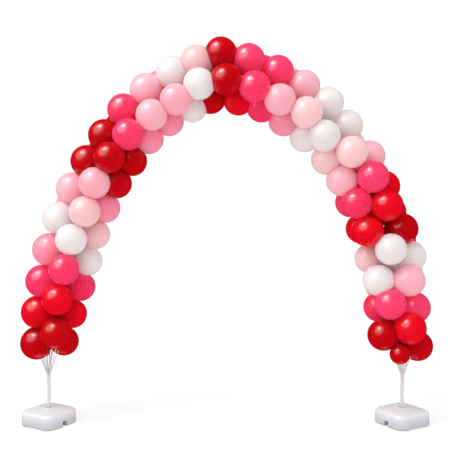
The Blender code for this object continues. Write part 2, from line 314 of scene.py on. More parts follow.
class ShaderTree(NodeTree):
    """The shader of one material, with short names for its common nodes."""

    def __init__(self, name: str) -> None:
        """Start a material with nothing in its tree.

        Args:
            name: the material's name.
        """
        self.material = bpy.data.materials.new(name)
        self.material.use_nodes = True
        self.material.node_tree.nodes.clear()
        super().__init__(self.material.node_tree)

    def place(self) -> NodeSocket:
        """The object's own coordinates."""
        return self.node("ShaderNodeTexCoord").outputs["Object"]

    def noise(self, scale: float, detail: float = 2.0, roughness: float = 0.5) -> Value:
        """Noise from 0 to 1, with about scale features to the metre."""
        inputs = {"Vector": self.place(), "Scale": scale, "Detail": detail, "Roughness": roughness}
        return Value(self, self.node("ShaderNodeTexNoise", inputs).outputs[0])

    def attribute(self, name: str) -> Value:
        """A number stored on the mesh under this name."""
        made = self.node("ShaderNodeAttribute", settings={"attribute_name": name})
        return Value(self, made.outputs["Fac"])

    def across(self, name: str) -> tuple[Value, Value]:
        """Read a vector that is stored on the mesh.

        Args:
            name: the attribute's name.

        Returns:
            Its first two numbers.
        """
        made = self.node("ShaderNodeAttribute", settings={"attribute_name": name})
        parts = self.node("ShaderNodeSeparateXYZ", {0: made.outputs["Vector"]})
        return Value(self, parts.outputs[0]), Value(self, parts.outputs[1])

    def blend(self, share: Value, first: object, second: object) -> NodeSocket:
        """Mix two colours, where share is how much of the second one shows."""
        settings = {"data_type": "RGBA", "clamp_factor": True}
        return self.node("ShaderNodeMix", {0: share, 6: first, 7: second}, settings).outputs[2]

    def bump(self, height: Value, strength: float, depth: float) -> NodeSocket:
        """A normal from a height, where depth is the height's full range in metres."""
        inputs = {"Height": height, "Strength": strength, "Distance": depth}
        return self.node("ShaderNodeBump", inputs).outputs[0]

    def surface(self, inputs: dict) -> Material:
        """Finish the material with a Principled shader.

        Args:
            inputs: the shader's inputs.

        Returns:
            The material.
        """
        shader = self.node("ShaderNodeBsdfPrincipled", inputs)
        self.node("ShaderNodeOutputMaterial", {0: shader.outputs[0]})
        return self.material


class GeometryTree(NodeTree):
    """A Geometry Nodes group with named inputs, run once on an object and then removed."""

    def __init__(self, name: str, inputs: dict[str, str]) -> None:
        """Start a group.

        Args:
            name: the group's name.
            inputs: each input's name and its socket type.
        """
        super().__init__(bpy.data.node_groups.new(name, "GeometryNodeTree"))
        self.tree.interface.new_socket("Geometry", in_out="INPUT", socket_type="NodeSocketGeometry")
        for label, kind in inputs.items():
            self.tree.interface.new_socket(label, in_out="INPUT", socket_type=kind)
        self.tree.interface.new_socket("Geometry", in_out="OUTPUT", socket_type="NodeSocketGeometry")
        self.input = self.node("NodeGroupInput").outputs

    def finish(self, shape: NodeSocket) -> None:
        """End the group: instances made real, shaded smooth and given their material.

        Args:
            shape: the geometry's socket.
        """
        real = self.node("GeometryNodeRealizeInstances", {0: shape}).outputs[0]
        smooth = self.node("GeometryNodeSetShadeSmooth", {0: real}).outputs[0]
        dressed = self.node("GeometryNodeSetMaterial", {0: smooth, "Material": self.input["Material"]})
        self.node("NodeGroupOutput", {0: dressed.outputs[0]})

    def named(self, name: str, kind: str) -> NodeSocket:
        """A named attribute of the geometry, of this data type."""
        made = self.node("GeometryNodeInputNamedAttribute", {"Name": name}, {"data_type": kind})
        return made.outputs[0]

    def aimed(self) -> NodeSocket:
        """The rotation that turns Z to each point's own direction."""
        inputs = {"Vector": self.named("toward", "FLOAT_VECTOR")}
        return self.node("FunctionNodeAlignRotationToVector", inputs, {"axis": "Z"}).outputs[0]

    def numbered(self, shape: NodeSocket) -> NodeSocket:
        """The instances with their number stored on each."""
        number = self.node("GeometryNodeInputIndex").outputs[0]
        return self.store(shape, "balloon", "INT", "INSTANCE", number)

    def store(self, shape: object, name: str, kind: str, domain: str, value: object) -> NodeSocket:
        """Store a named attribute on a geometry.

        Args:
            shape: the geometry's socket.
            name: the attribute's name.
            kind: its data type.
            domain: where it is stored.
            value: the socket or number to store.

        Returns:
            The geometry's socket.
        """
        settings = {"data_type": kind, "domain": domain}
        inputs = {0: shape, "Name": name, "Value": value}
        return self.node("GeometryNodeStoreNamedAttribute", inputs, settings).outputs[0]

    def run(self, source: Mesh, values: dict[str, object]) -> Mesh:
        """Run the group on a mesh.

        Args:
            source: the mesh that the group takes in.
            values: a value for each named input.

        Returns:
            The result, as a plain mesh.
        """
        carrier = linked("carrier", source)
        modifier = carrier.modifiers.new("tree", "NODES")
        modifier.node_group = self.tree
        for item in self.tree.interface.items_tree:
            if item.in_out == "INPUT" and item.name in values:
                modifier[item.identifier] = values[item.name]
        made = evaluated_mesh(carrier)
        carrier.modifiers.remove(modifier)
        bpy.data.objects.remove(carrier)
        return made


# ---- finishes


class Shade(Enum):
    """The balloon colours, each with the letter used in the tables."""

    DEEP_RED = "D"
    BRIGHT_RED = "R"
    HOT_PINK = "H"
    ROSE_PINK = "P"
    LIGHT_PINK = "L"
    BLUSH = "B"
    PEARL_WHITE = "W"

    @property
    def slot(self) -> str:
        """The colour's name in lower case, used in the names of its material and piece."""
        return self.name.lower()


PAINTED_GLOW_TINT = (1.15, 0.78, 0.84)  # tint of the painted glow in the creases, for red, green and blue


@dataclass(frozen=True)
class LatexFinish:
    """Blown latex: an even skin with a soft gloss, deeper in colour where it is thick, with a painted glow in
    the creases where it meets other balloons.
    """

    skin: Triple  # colour where the latex is stretched
    thick: Triple  # colour at the neck and the crown spot, where it is thick
    glow: Triple  # colour of its palest patches, and the base of its painted glow in the creases
    gloss: float = 0.30  # roughness of the skin
    shine: float = 0.40  # how much it mirrors
    depth: float = 0.18  # how far light spreads inside the balloon, in metres
    scatter: Triple = (1.0, 0.8, 0.8)  # how far each colour of light goes, as a share of depth
    passed: float = 0.15  # strength of the painted glow in the creases, where other balloons press on it

    def material(self, name: str) -> Material:
        """Build the latex as a material.

        Args:
            name: the material's name.

        Returns:
            The material.
        """
        tree = ShaderTree(name)
        polar = tree.attribute("polar")
        tint = tree.attribute("tint")
        # Painted glow: the skin is made to emit a little light where it lies close to another balloon, which
        # lightens the creases.
        near = tree.attribute("near")
        cloud = tree.noise(scale=7.0)
        grain = tree.noise(scale=520.0, detail=3.0, roughness=0.6)
        bloom = tree.noise(scale=34.0, detail=4.0, roughness=0.62)
        lift = (cloud - 0.5) * 0.5 + tint * 0.4 + 0.5
        body = tree.blend(lift, (*self.skin, 1.0), (*self.glow, 1.0))
        neck = polar.ramp(0.90, 1.0) + (1.0 - polar).ramp(0.9985, 0.99995) * 0.55
        colour = tree.blend(neck, body, (*self.thick, 1.0))
        # The painted glow's colour: the pale tone, tinted warm.
        through = tuple(share * filtered for share, filtered in zip(self.glow, PAINTED_GLOW_TINT))
        rough = bloom.ramp(0.35, 0.75) * 0.10 + self.gloss - 0.03
        return tree.surface(
            {
                "Base Color": colour,
                "Roughness": rough,
                "Normal": tree.bump(grain * 0.3 + bloom * 0.7, strength=0.05, depth=0.0004),
                "Specular IOR Level": self.shine,
                "Subsurface Weight": 1.0,
                "Subsurface Radius": self.scatter,
                "Subsurface Scale": self.depth,
                "Emission Color": tree.blend(near, (0.0, 0.0, 0.0, 1.0), (*through, 1.0)),
                "Emission Strength": self.passed,
            }
        )


SATURATED = (1.0, 0.35, 0.35)
LATEX = {
    # skin, thick and glow, then gloss, shine, depth, scatter and the painted crease glow's strength
    Shade.DEEP_RED: LatexFinish(
        (0.51, 0.0022, 0.0060), (0.26, 0.0010, 0.0025), (0.56, 0.0030, 0.0085),
        0.24, 0.34, 0.08, SATURATED, 0.02,
    ),
    Shade.BRIGHT_RED: LatexFinish(
        (0.71, 0.0030, 0.0130), (0.45, 0.0015, 0.0050), (0.77, 0.0050, 0.0200),
        0.24, 0.40, 0.12, SATURATED, 0.06,
    ),
    Shade.HOT_PINK: LatexFinish(
        (0.86, 0.0380, 0.1250), (0.64, 0.0090, 0.0400), (0.91, 0.0760, 0.1950),
        0.25, 0.48, 0.18, SATURATED, 0.11,
    ),
    Shade.ROSE_PINK: LatexFinish(
        (0.88, 0.2700, 0.3700), (0.74, 0.1300, 0.2100), (0.91, 0.3300, 0.4300), 0.28, 0.38, passed=0.07
    ),
    Shade.LIGHT_PINK: LatexFinish(
        (0.87, 0.4100, 0.4750), (0.79, 0.2700, 0.3300), (0.89, 0.4700, 0.5350), 0.30, 0.32, passed=0.11
    ),
    Shade.BLUSH: LatexFinish(
        (0.84, 0.5200, 0.5250), (0.76, 0.3900, 0.3800), (0.86, 0.5800, 0.5850), 0.30, 0.35, passed=0.10
    ),
    Shade.PEARL_WHITE: LatexFinish(
        (0.745, 0.7000, 0.7000), (0.71, 0.6200, 0.6000), (0.76, 0.7250, 0.7250), 0.30, 0.34, passed=0.16
    ),
}


@dataclass(frozen=True)
class PlasticFinish:
    """Blow-moulded polyethylene: satin, with a faint pebble and faint soil patches, and painted shade that
    darkens it towards the floor and in its notches.
    """

    shell: Triple = (0.76, 0.775, 0.80)
    # colour of the painted shade low down and in the notches, and of the faint soil patches
    soiled: Triple = (0.26, 0.26, 0.28)
    gloss: float = 0.42

    def material(self, name: str) -> Material:
        """Build the plastic as a material.

        Args:
            name: the material's name.

        Returns:
            The material.
        """
        tree = ShaderTree(name)
        parts = tree.node("ShaderNodeSeparateXYZ", {0: tree.place()})
        height = Value(tree, parts.outputs[2])
        patch = tree.noise(scale=9.0, detail=4.0, roughness=0.6)
        pebble = tree.noise(scale=420.0)
        wave = tree.noise(scale=16.0, detail=1.0, roughness=0.4)
        # Painted shade: darker towards the floor over the whole side, and darker deep in the notches; only
        # the faint random patches are soil.
        low = (1.0 - height.ramp(0.030, 0.135)) * 0.40 + (1.0 - height.ramp(0.002, 0.03)) * 0.25
        shade_and_soil_share = low + tree.attribute("hollow") * 0.55 + patch.ramp(0.60, 0.85) * 0.06
        colour = tree.blend(shade_and_soil_share, (*self.shell, 1.0), (*self.soiled, 1.0))
        rough = patch * 0.14 + self.gloss - 0.05
        return tree.surface(
            {
                "Base Color": colour,
                "Roughness": rough,
                "Normal": tree.bump(pebble * 0.25 + wave * 0.75, strength=0.22, depth=0.0016),
                "Specular IOR Level": 0.40,
            }
        )


@dataclass(frozen=True)
class StrandFinish:
    """White twisted cord: fine plies that wind round it, with painted shade in the grooves between them."""

    ply: Triple = (0.84, 0.82, 0.83)
    # colour of the painted shade in the grooves between the plies
    groove: Triple = (0.60, 0.56, 0.58)
    plies: int = 3
    lay: float = 0.022

    def material(self, name: str) -> Material:
        """Build the cord as a material.

        Args:
            name: the material's name.

        Returns:
            The material.
        """
        tree = ShaderTree(name)
        side, front = tree.across("round")
        along = tree.attribute("along")
        round_it = front.angle_over(side) * float(self.plies)
        wind = (round_it + along * (2 * pi * self.plies / self.lay)).sine()
        fibre = tree.noise(scale=900.0, roughness=0.6)
        crest = wind * 0.5 + 0.5
        # Painted shade: greyer in the grooves between the plies.
        share = (1.0 - crest.ramp(0.05, 0.6)) * 0.8
        colour = tree.blend(share, (*self.ply, 1.0), (*self.groove, 1.0))
        return tree.surface(
            {
                "Base Color": colour,
                "Roughness": fibre * 0.2 + 0.45,
                "Normal": tree.bump(crest * 0.8 + fibre * 0.2, strength=0.6, depth=0.0008),
                "Specular IOR Level": 0.35,
            }
        )


# ---- the line and the balloons


@dataclass(frozen=True)
class Leg:
    """Half of the arch line, level at the crown and ever steeper towards the foot."""

    side: int  # -1 for the left half and 1 for the right
    steep: float  # the slope that it tends to, in radians
    bend: float  # how far from the crown it has made most of that turn
    step: float = 0.005  # distance between the points that are worked out
    length: float = 4.0  # how far they go

    def table(self) -> tuple[np.ndarray, np.ndarray, np.ndarray, np.ndarray]:
        """Step along the leg.

        Returns:
            Distance from the crown, run, drop and heading at each step.
        """
        along = np.arange(0, self.length + self.step, self.step)
        heading = self.steep * (1 - np.exp(-along / self.bend))
        middle = (heading[1:] + heading[:-1]) / 2
        run = np.concatenate([[0], np.cumsum(np.cos(middle)) * self.step])
        drop = np.concatenate([[0], np.cumsum(np.sin(middle)) * self.step])
        return along, run, drop, heading


class ArchLine:
    """The line that the balloons are tied round."""

    def __init__(self, crown: tuple[float, float], left: Leg, right: Leg) -> None:
        """Set the line out.

        Args:
            crown: x and z where the two legs meet.
            left: the left half.
            right: the right half.
        """
        self.crown = crown
        self.left = (left, left.table())
        self.right = (right, right.table())

    def at(self, along: float) -> tuple[np.ndarray, np.ndarray]:
        """Find a place on the line.

        Args:
            along: distance from the crown, negative to the left.

        Returns:
            The line's point there, and its outward direction.
        """
        leg, (steps, run, drop, heading) = self.left if along < 0 else self.right
        here = abs(along)
        slope = float(np.interp(here, steps, heading))
        x = self.crown[0] + leg.side * float(np.interp(here, steps, run))
        z = self.crown[1] - float(np.interp(here, steps, drop))
        return np.array([x, 0, z]), np.array([leg.side * sin(slope), 0, cos(slope)])

    def direction(self, turn: float, out: np.ndarray) -> np.ndarray:
        """The direction this many degrees round the line from outward, towards the front."""
        angle = radians(turn)
        return out * cos(angle) + np.array([0, -sin(angle), 0])


class Column(NamedTuple):
    """One of the four rows of balloons that run along the line."""

    left_radius: float  # radius of a balloon at the left foot
    right_radius: float  # the same at the right foot
    reach: float  # how far the centres sit from the line


class Pair(NamedTuple):
    """Two balloons tied neck to neck."""

    colours: str  # a letter of Shade for each
    at: float  # the first one's distance from the crown along the line, negative to the left
    lift: float  # how much further along the second one sits
    turn: float  # the first one's degrees round the line, where 0 is outward and 90 is the front
    second_turn: float  # the second one's
    proud: float = 0.0  # how much further than its column the first one sits from the line
    second_proud: float = 0.0  # the same for the second one


@dataclass
class Balloon:
    """One balloon in its place."""

    shade: Shade
    node: str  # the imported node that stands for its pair
    at: float  # its distance along the line
    centre: np.ndarray
    radius: float  # its radius where nothing presses on it
    knot: np.ndarray  # where its neck is tied


@dataclass(frozen=True)
class TailBlank:
    """The knot and the rolled lip beyond it, as one turned shape."""

    knot: float = 0.0075  # radius of the knot
    stem: float = 0.0034  # radius of the tail
    lip: float = 0.0068  # radius of the rolled lip
    length: float = 0.024  # from the knot's middle to the lip's end
    sides: int = 14  # faces round it
    droop: float = 0.25  # how much it leans towards the line
    setback: float = 0.004  # how far before the knot it starts

    def mesh(self) -> Object:
        """Turn the shape.

        Returns:
            An object that carries it and is kept out of the scene.
        """
        profile = [
            (0.0, -0.9 * self.knot),
            (0.7 * self.knot, -0.7 * self.knot),
            (self.knot, 0.0),
            (0.75 * self.knot, 0.6 * self.knot),
            (self.stem, self.knot),
            (self.stem, 0.55 * self.length),
            (0.8 * self.lip, 0.84 * self.length),
            (self.lip, 0.9 * self.length),
            (1.12 * self.lip, 0.95 * self.length),
            (self.lip, self.length),
            (0.7 * self.lip, 0.97 * self.length),
            (0.0, 0.9 * self.length),
        ]
        turns = [2 * pi * i / self.sides for i in range(self.sides)]
        rings = [[around(turn, radius, height) for turn in turns] for radius, height in profile]
        return bpy.data.objects.new("tail_blank", ringed_mesh(rings))

    def tree(self) -> GeometryTree:
        """Build the tree that sets a tail on each knot.

        Returns:
            The tree.
        """
        tree = GeometryTree("tied_tails", {"Tail": "NodeSocketObject", "Material": "NodeSocketMaterial"})
        blank = tree.node("GeometryNodeObjectInfo", {"Object": tree.input["Tail"]}).outputs["Geometry"]
        inputs = {"Points": tree.input["Geometry"], "Instance": blank, "Rotation": tree.aimed()}
        tails = tree.node("GeometryNodeInstanceOnPoints", inputs).outputs[0]
        tails = tree.store(tails, "tint", "FLOAT", "INSTANCE", 0.0)
        tails = tree.store(tails, "polar", "FLOAT", "INSTANCE", 1.0)
        tree.finish(tree.numbered(tails))
        return tree


@dataclass
class Garland:
    """All the balloons: two strings of pairs twisted round the line, and one small balloon."""

    line: ArchLine  # the line that they are tied round
    outer: Column  # the column on the outside of the arch
    front: Column  # the column on its front
    inner: Column  # the column on the inside
    back: Column  # the column behind
    facets: int = 72  # faces round a balloon
    rings: int = 50  # faces from its crown to its neck
    press: float = 110.0  # how tight the rounding is at the edge of a flat
    core: float = 0.02  # how far the skins stay from the line
    neck_room: float = 0.12  # how far apart two balloons can be and still part their necks
    neck_fill: float = 0.85  # how full a neck is: 0 for a ball with a spout, 1 for a straight cone
    neck_width: float = 0.16  # half the neck's width, as an angle at the balloon's centre
    longer: float = 0.014  # how much longer than wide a balloon is, as a share of its radius
    fuller: float = 0.012  # how much fuller its crown is than its neck end, the same way
    uneven: float = 0.006  # how much it differs from its neighbours, the same way
    knot_offset: float = 0.016  # how far a knot lies from the line, to its pair's side
    pinch: float = 0.24  # share of the reach that is lost at the left foot's end
    pinch_length: float = 0.2  # how fast that fades along the line
    first_at: float = 3.18  # distance from the crown to the first pair
    tail: TailBlank = TailBlank()  # the knot and lip past each neck
    swell: float = 0.0035  # how much fuller a skin is than its blank, in metres
    light_gap: float = 0.035  # how wide a gap between two skins still gets some of the painted glow

    INNER_FRONT = (
        #    colours    at   lift  turn  second_turn  proud  second_proud
        Pair("DD", -3.16, 0.12, 236, 108),
        Pair("RR", -2.89, 0.16, 226, 97),
        Pair("HH", -2.61, 0.16, 209, 98),
        Pair("WW", -2.35, 0.18, 202, 95),
        Pair("BB", -2.08, 0.19, 199, 106),
        Pair("PL", -1.80, 0.18, 190, 98),
        Pair("DD", -1.53, 0.18, 180, 100),
        Pair("DH", -1.26, 0.18, 180, 104, 0.01),
        Pair("PL", -0.98, 0.18, 180, 112),
        Pair("PL", -0.70, 0.17, 190, 115),
        Pair("WW", -0.41, 0.14, 196, 100),
        Pair("DD", -0.19, 0.17, 210, 100, -0.01),
        Pair("RH", 0.12, 0.135, 190, 110),
        Pair("HL", 0.39, 0.135, 184, 118, 0.01),
        Pair("PB", 0.67, 0.13, 182, 106, 0.025),
        Pair("WW", 0.95, 0.12, 180, 118, 0.015),
        Pair("BB", 1.27, 0.07, 172, 83),
        Pair("LH", 1.525, 0.095, 160, 66),
        Pair("HR", 1.78, 0.12, 143, 58),
        Pair("RD", 2.07, 0.075, 140, 11, 0.0, 0.004),
        Pair("WW", 2.28, 0.12, 88, 0, 0.0, 0.02),
        Pair("WL", 2.54, 0.05, 144, 50),
        Pair("HH", 2.77, 0.08, 118, 15, 0.0, -0.02),
        Pair("DR", 3.065, -0.055, 153, 68),
    )
    OUTER_BACK = (
        #    colours    at   lift  turn  second_turn  proud  second_proud
        Pair("DD", -3.18, 0.17, 0, -76, 0.005, 0.02),
        Pair("RR", -2.90, 0.14, 0, -79, 0.002, 0.01),
        Pair("HH", -2.62, 0.15, 0, -76, 0.002, 0.01),
        Pair("PP", -2.33, 0.15, 0, -74, 0.002, 0.01),
        Pair("WL", -2.04, 0.13, 0, -52, -0.006, 0.065),
        Pair("LL", -1.76, 0.14, -16, -66, -0.003),
        Pair("DD", -1.49, 0.14, -18, -60, -0.006, 0.03),
        Pair("DD", -1.22, 0.13, -24, -58, -0.004, 0.035),
        Pair("HH", -0.95, 0.14, -16, -60, 0.0, 0.04),
        Pair("LP", -0.70, 0.12, -14, -51, 0.0, 0.07),
        Pair("WL", -0.45, 0.09, -6, -50, 0.0, 0.07),
        Pair("BP", -0.24, 0.08, 0, -45, 0.015, 0.10),
        Pair("DH", -0.05, 0.11, 0, -47, 0.055, 0.09),
        Pair("HH", 0.16, 0.13, 0, -51, 0.01, 0.07),
        Pair("HP", 0.405, 0.125, -14, -54, -0.005, 0.06),
        Pair("LL", 0.65, 0.11, -20, -60, 0.0, 0.04),
        Pair("WW", 0.89, 0.13, -12, -62, 0.0, 0.02),
        Pair("WB", 1.14, 0.15, -22, -62, 0.0, 0.04),
        Pair("LH", 1.46, 0.12, -8, -102, -0.01),
        Pair("RR", 1.75, 0.17, -8, -84, -0.01, 0.01),
        Pair("RH", 1.98, -0.21, -26, -144, -0.015, -0.01),
        Pair("RR", 2.25, -0.20, -43, -143, 0.08, -0.015),
        Pair("WB", 2.44, -0.085, -73, -140, 0.005, -0.02),
        Pair("BL", 2.56, 0.09, -42, -110, 0.07, 0.015),
        Pair("HH", 2.87, -0.03, -75, -130),
        Pair("DD", 3.215, -0.095, -14, -104, -0.003, -0.035),
    )
    #        colour  at    turn   reach  radius
    SMALL = ("D", 3.24, 104.0, 0.155, 0.088)

    def _place(self, at: float, turn: float, column: Column, proud: float) -> tuple[np.ndarray, float]:
        """Place one balloon.

        Args:
            at: its distance along the line.
            turn: its turn round the line.
            column: its column.
            proud: how much further out than its column it sits.

        Returns:
            Its centre and radius.
        """
        point, out = self.line.at(at)
        share = (at + self.first_at) / (2 * self.first_at)
        radius = column.left_radius + (column.right_radius - column.left_radius) * share
        pinch = self.pinch * exp(-max(0.0, self.first_at + at) / self.pinch_length)
        reach = (column.reach + proud) * (1 - pinch)
        return point + self.line.direction(turn, out) * reach, radius

    def _knot(self, ats: list[float], turns: list[float]) -> np.ndarray:
        """Where the necks of balloons at these places are tied."""
        point, out = self.line.at(sum(ats) / len(ats))
        return point + self.line.direction(sum(turns) / len(turns), out) * self.knot_offset

    def __post_init__(self) -> None:
        """Place the balloons."""
        self.everyone = self._placed()

    def _placed(self) -> list[Balloon]:
        """Place every balloon.

        Returns:
            The balloons, with nothing pressed yet.
        """
        made = []
        strings = (
            ("inner_front_pair", self.INNER_FRONT, self.inner, self.front),
            ("outer_back_pair", self.OUTER_BACK, self.outer, self.back),
        )
        for kind, rows, first, second in strings:
            for number, row in enumerate(rows, 1):
                places = (
                    (row.at, row.turn, first, row.proud),
                    (row.at + row.lift, row.second_turn, second, row.second_proud),
                )
                knot = self._knot([p[0] for p in places], [p[1] for p in places])
                node = f"{kind}_{number:02d}"
                for letter, (at, turn, column, proud) in zip(row.colours, places):
                    centre, radius = self._place(at, turn, column, proud)
                    made.append(Balloon(Shade(letter), node, at, centre, radius, knot))
        letter, at, turn, reach, radius = self.SMALL
        point, out = self.line.at(at)
        centre = point + self.line.direction(turn, out) * reach
        knot = self._knot([at], [turn])
        made.append(Balloon(Shade(letter), "small_balloon", at, centre, radius, knot))
        return made

    def blank_tree(self) -> GeometryTree:
        """Build the tree that sets a round blank on each centre, its pole towards the knot.

        Returns:
            The tree.
        """
        sockets = {"Facets": "NodeSocketInt", "Rings": "NodeSocketInt", "Material": "NodeSocketMaterial"}
        tree = GeometryTree("balloon_blanks", sockets)
        ball_inputs = {"Segments": tree.input["Facets"], "Rings": tree.input["Rings"], "Radius": 1.0}
        ball = tree.node("GeometryNodeMeshUVSphere", ball_inputs).outputs[0]
        place = tree.node("GeometryNodeInputPosition").outputs[0]
        height = tree.node("ShaderNodeSeparateXYZ", {0: place}).outputs[2]
        polar = tree.node("ShaderNodeMapRange", {0: height, 1: -1.0, 2: 1.0}).outputs[0]
        ball = tree.store(ball, "polar", "FLOAT", "POINT", polar)
        roll_inputs = {"Axis": (0.0, 0.0, 1.0), "Angle": tree.named("roll", "FLOAT")}
        roll = tree.node("FunctionNodeAxisAngleToRotation", roll_inputs)
        turns = {0: tree.aimed(), 1: roll.outputs[0]}
        turned = tree.node("FunctionNodeRotateRotation", turns, {"rotation_space": "LOCAL"})
        set_inputs = {
            "Points": tree.input["Geometry"],
            "Instance": ball,
            "Rotation": turned.outputs[0],
            "Scale": tree.named("size", "FLOAT"),
        }
        blanks = tree.node("GeometryNodeInstanceOnPoints", set_inputs).outputs[0]
        tree.finish(tree.numbered(blanks))
        return tree

    def _flats(self, me: Balloon) -> list[tuple[np.ndarray, float]]:
        """List the planes that press on a balloon.

        Args:
            me: the balloon.

        Returns:
            Each plane's direction, and its distance from the balloon's centre.
        """
        flats = []
        for other in self.everyone:
            apart = other.centre - me.centre
            distance = float(np.linalg.norm(apart))
            if other is me or distance >= me.radius + other.radius + self.neck_room:
                continue
            share = (distance**2 + me.radius**2 - other.radius**2) / (2 * distance)
            flats.append((apart / distance, share - GAP / 2))
        point, _ = self.line.at(me.at)
        inward = point - me.centre
        reach = float(np.linalg.norm(inward))
        flats.append((inward / reach, reach - self.core))
        return flats

    def _press(self, me: Balloon, rays: np.ndarray, sway: np.ndarray) -> np.ndarray:
        """Shape one balloon's skin.

        Args:
            me: the balloon.
            rays: directions from its centre, one for each vertex.
            sway: three small numbers that make it differ from its neighbours.

        Returns:
            The vertices' places.
        """
        toward = me.knot - me.centre
        length = float(np.linalg.norm(toward))
        toward = toward / length
        facing = np.clip(rays @ toward, -1.0, 1.0)
        # A blown balloon is a little long, and fuller at its crown than towards its neck.
        form = self.longer * facing**2 - self.fuller * facing + self.uneven * (rays @ sway)
        skin = me.radius * (1.0 + form) + self.swell
        away = np.arccos(facing)
        tangent = acos(min(1.0, me.radius / length))
        cone = 1.0 / np.cos(np.maximum(0.0, tangent - away))
        skin = skin * (1.0 + (cone - 1.0) * self.neck_fill)
        crowding = (skin / me.radius) ** -self.press
        for normal, distance in self._flats(me):
            hit = np.maximum(rays @ normal, 1e-6) / (distance / me.radius)
            crowding += hit**self.press
        skin = me.radius * crowding ** (-1.0 / self.press)
        neck = np.exp(-((away / self.neck_width) ** 2))
        skin = skin + (length - skin) * neck
        return me.centre + rays * skin[:, None]

    def _nearness(self, me: Balloon, skin: np.ndarray) -> np.ndarray:
        """Measure how close each point of a skin is to another balloon, for the painted glow in the creases.

        Args:
            me: the skin's balloon.
            skin: the skin's points.

        Returns:
            A number for each point, from 0 when clear to 1 when touching.
        """
        gap = np.full(len(skin), inf)
        for other in self.everyone:
            if other is not me:
                gap = np.minimum(gap, np.linalg.norm(skin - other.centre, axis=1) - other.radius)
        return np.exp(-((np.maximum(gap, 0.0) / self.light_gap) ** 2))

    def build(self) -> None:
        """Make one piece for each colour of balloon."""
        blanks = self.blank_tree()
        tails = self.tail.tree()
        chance = np.random.default_rng(SEED)
        count = len(self.everyone)
        rolls = chance.uniform(0, 2 * pi, count)
        tints = chance.uniform(-1, 1, count)
        sways = chance.normal(0, 1, (count, 3))
        tail_blank = self.tail.mesh()
        for shade in Shade:
            own = [i for i, balloon in enumerate(self.everyone) if balloon.shade is shade]
            finish = LATEX[shade].material(f"latex_{shade.slot}")
            mine = [self.everyone[i] for i in own]
            fields = {
                "toward": [me.knot - me.centre for me in mine],
                "size": [me.radius for me in mine],
                "roll": rolls[own],
                "tint": tints[own],
            }
            points = wire_mesh([[me.centre] for me in mine], **fields)
            name = f"balloons_{shade.slot}"
            values = {"Facets": self.facets, "Rings": self.rings, "Material": finish}
            mesh = blanks.run(points, values)
            self._press_all(mesh, mine, sways[own])
            tail_mesh = self._tails(tails, tail_blank, mine, rolls[own], finish)
            piece = add_piece(name, merged([mesh, tail_mesh]), finish)
            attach(piece, "root")
            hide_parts(*sorted({me.node for me in mine}))
            shade.slot
            LOG.info("%s: %d balloons, %d triangles", name, len(own), triangle_count(piece))

    def _press_all(self, mesh: Mesh, own: list[Balloon], sways: np.ndarray) -> None:
        """Press every blank of a mesh into shape, in place, and store the share of painted glow on each
        point.

        Args:
            mesh: the blanks.
            own: the balloons that they stand for.
            sways: three small numbers for each blank, for its unevenness.
        """
        count = len(mesh.vertices)
        places = np.empty(count * 3)
        mesh.vertices.foreach_get("co", places)
        places = places.reshape(-1, 3)
        near = np.zeros(count)
        numbers = np.empty(count, dtype=np.int32)
        mesh.attributes["balloon"].data.foreach_get("value", numbers)
        for number, me in enumerate(own):
            mine = numbers == number
            rays = places[mine] - me.centre
            rays = rays / np.linalg.norm(rays, axis=1)[:, None]
            places[mine] = self._press(me, rays, sways[number])
            near[mine] = self._nearness(me, places[mine])
        # Where the painted glow in the creases shows.
        put_attribute(mesh, "near", near)
        mesh.vertices.foreach_set("co", places.ravel())
        mesh.update()

    def _tails(
        self, tree: GeometryTree, blank: Object, own: list[Balloon], rolls: np.ndarray, finish: Material
    ) -> Mesh:
        """Make the knots and rolled lips of these balloons, just past their necks.

        Args:
            tree: the tree that sets them out.
            blank: the turned shape.
            own: the balloons.
            rolls: each balloon's roll, which picks the side that its tail leans to.
            finish: their latex.

        Returns:
            The mesh.
        """
        places, aims = [], []
        for me, roll in zip(own, rolls):
            _, out = self.line.at(me.at)
            along = np.cross(out, np.array([0.0, 1.0, 0.0]))
            inward = (me.knot - me.centre) / np.linalg.norm(me.knot - me.centre)
            aim = along * (1.0 if cos(roll) > 0 else -1.0) + inward * self.tail.droop
            places.append([me.knot - inward * self.tail.setback])
            aims.append(aim / np.linalg.norm(aim))
        return tree.run(wire_mesh(places, toward=aims), {"Tail": blank, "Material": finish})


# ---- strands and weights


